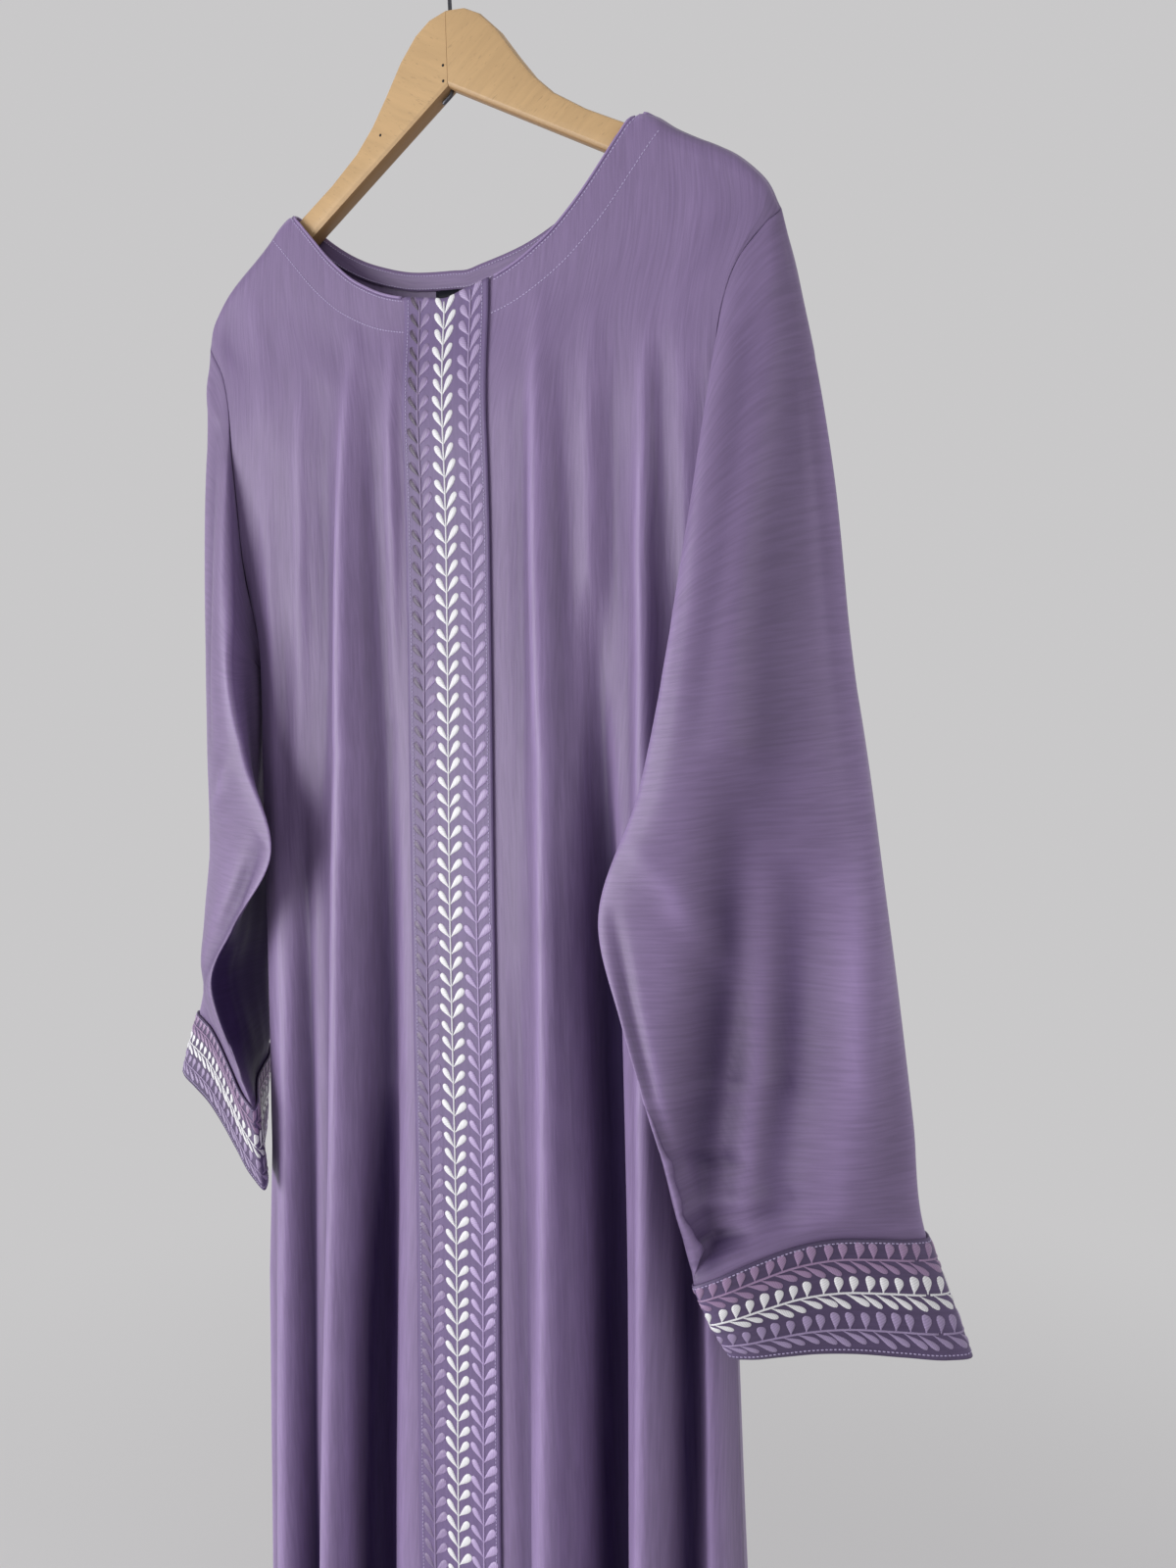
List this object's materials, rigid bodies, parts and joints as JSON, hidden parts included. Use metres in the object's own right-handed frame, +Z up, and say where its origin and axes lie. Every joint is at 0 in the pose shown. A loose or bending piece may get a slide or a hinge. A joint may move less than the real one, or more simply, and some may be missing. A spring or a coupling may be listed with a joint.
{
  "type": "hanging embroidered abaya on a wooden garment hanger",
  "caption": "Long robe with wide round neck, long sleeves and an embroidered band down the front, hanging open inside on a flat wooden hanger with a wire hook.",
  "frame": {"origin": "inside top of the hanger's hook, where a rail or wall hook carries it", "axes": "+Z up, front of the robe towards -Y, wearer's left towards +X"},
  "size_m": [0.6361, 0.1528, 1.5901],
  "materials": {
    "crepe": "satin",
    "embroidered_band": "satin",
    "label": "matte",
    "beech": "satin",
    "steel_wire": "satin"
  },
  "bodies": {
    "root": {"left_sleeve": "crepe", "right_sleeve": "crepe", "left_cuff_band": "embroidered_band", "right_cuff_band": "embroidered_band", "left_front_panel": "crepe", "right_front_panel": "crepe", "back_panel": "crepe", "front_band": "embroidered_band", "back_neck_strip": "crepe", "neck_label": "label", "hanger_left_half": "beech", "hanger_right_half": "beech", "hanger_hook": "steel_wire"}
  },
  "joints": []
}
